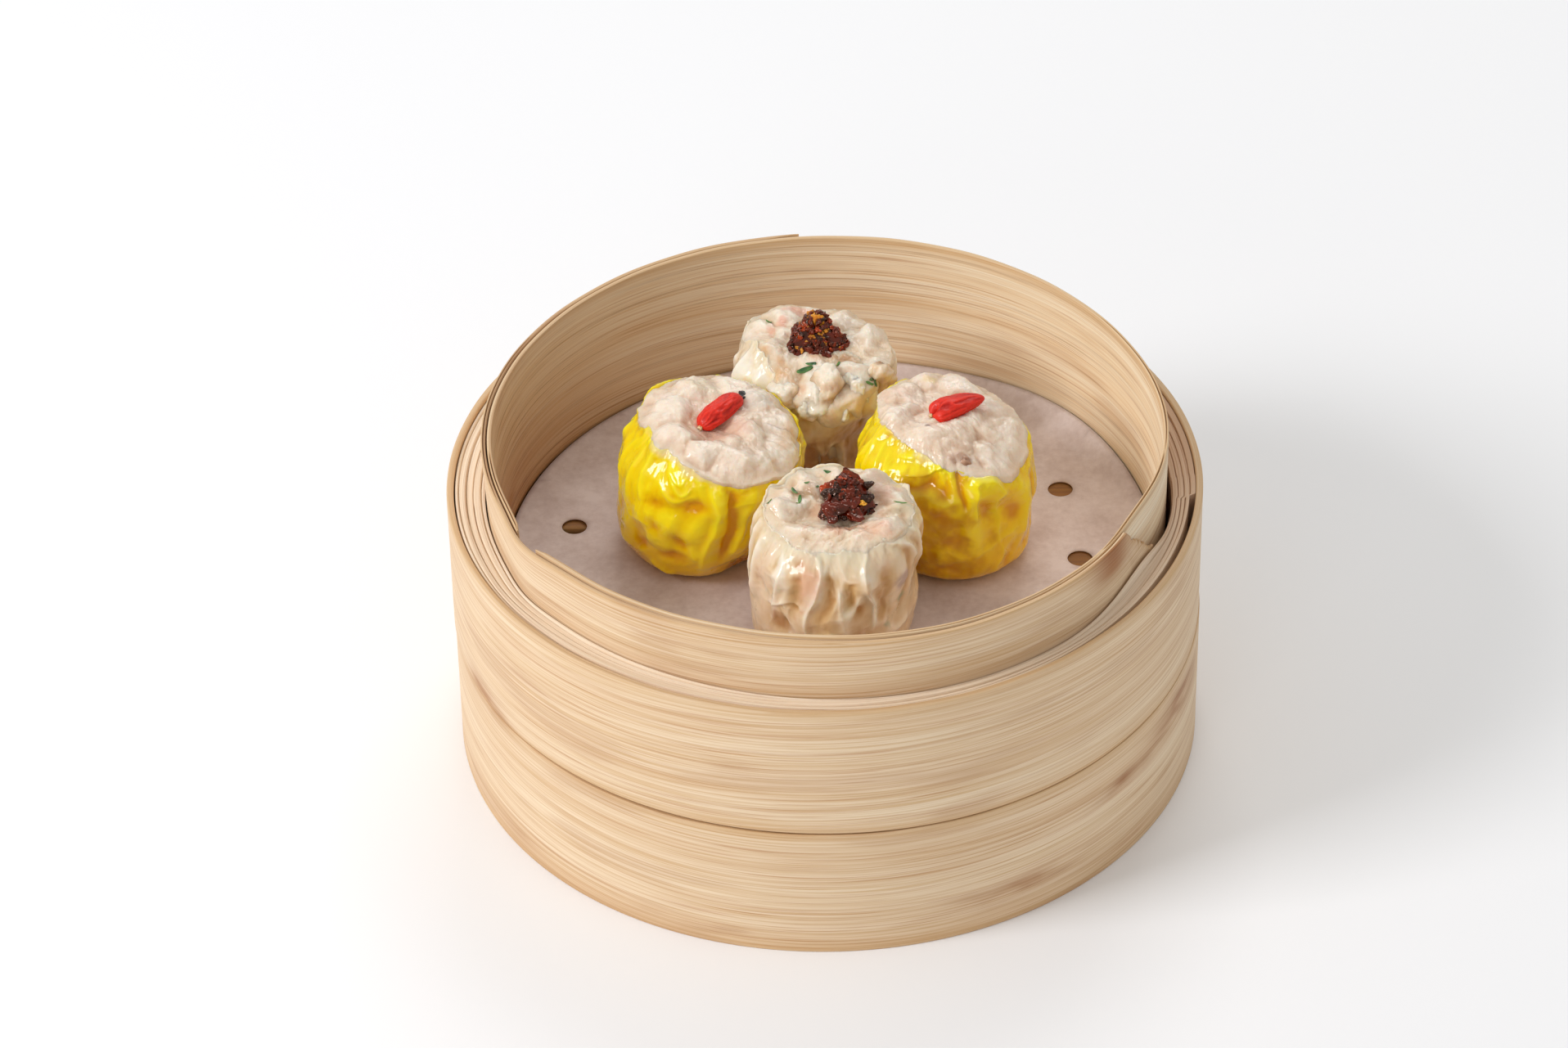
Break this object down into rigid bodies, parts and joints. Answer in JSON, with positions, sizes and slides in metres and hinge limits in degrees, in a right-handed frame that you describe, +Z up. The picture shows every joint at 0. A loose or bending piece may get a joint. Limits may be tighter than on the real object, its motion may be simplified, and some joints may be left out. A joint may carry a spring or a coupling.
{
  "type": "siu mai dumplings in bamboo steamer basket",
  "caption": "Open-topped siu mai with golden or pale wrappers, goji berries and chopped sauce on top, on a punched paper liner in a round bamboo steamer basket.",
  "frame": {"origin": "middle of the basket's base, on the surface it stands on", "axes": "+Z up; the view the basket is shown from looks along +Y, with +X to the right"},
  "size_m": [0.16, 0.16, 0.0807],
  "materials": {
    "bamboo_outer": "bare bamboo strip, sanded, fine fibre along the strip",
    "bamboo_inner": "bare bamboo strip, steam-browned, fine fibre along the strip",
    "bamboo_floor": "bare bamboo slat, steam-browned",
    "paper": "matt greaseproof paper",
    "golden_wrapper": "moist steamed egg dough, glossy, slightly translucent",
    "white_wrapper": "moist steamed wheat dough, glossy, translucent",
    "filling": "steamed minced pork and shrimp, moist",
    "goji": "soaked dried berry, wrinkled",
    "sauce": "oily chopped chilli sauce, wet gloss"
  },
  "bodies": {
    "root": {"outer_band_lower": "bamboo_outer", "outer_band_upper": "bamboo_outer", "ledge_hoop": "bamboo_inner", "ring_lamina": "bamboo_inner", "ring_wrap": "bamboo_outer", "support_hoop": "bamboo_inner", "floor_slat_1": "bamboo_floor", "floor_slat_2": "bamboo_floor", "floor_slat_3": "bamboo_floor", "floor_slat_4": "bamboo_floor", "floor_slat_5": "bamboo_floor", "floor_slat_6": "bamboo_floor", "floor_slat_7": "bamboo_floor", "floor_batten_1": "bamboo_floor", "floor_batten_2": "bamboo_floor", "paper_liner": "paper", "golden_left_wrapper": "golden_wrapper", "golden_left_filling": "filling", "golden_left_goji": "goji", "golden_right_wrapper": "golden_wrapper", "golden_right_filling": "filling", "golden_right_goji": "goji", "white_front_wrapper": "white_wrapper", "white_front_filling": "filling", "white_front_sauce": "sauce", "white_back_wrapper": "white_wrapper", "white_back_filling": "filling", "white_back_sauce": "sauce"}
  },
  "joints": []
}
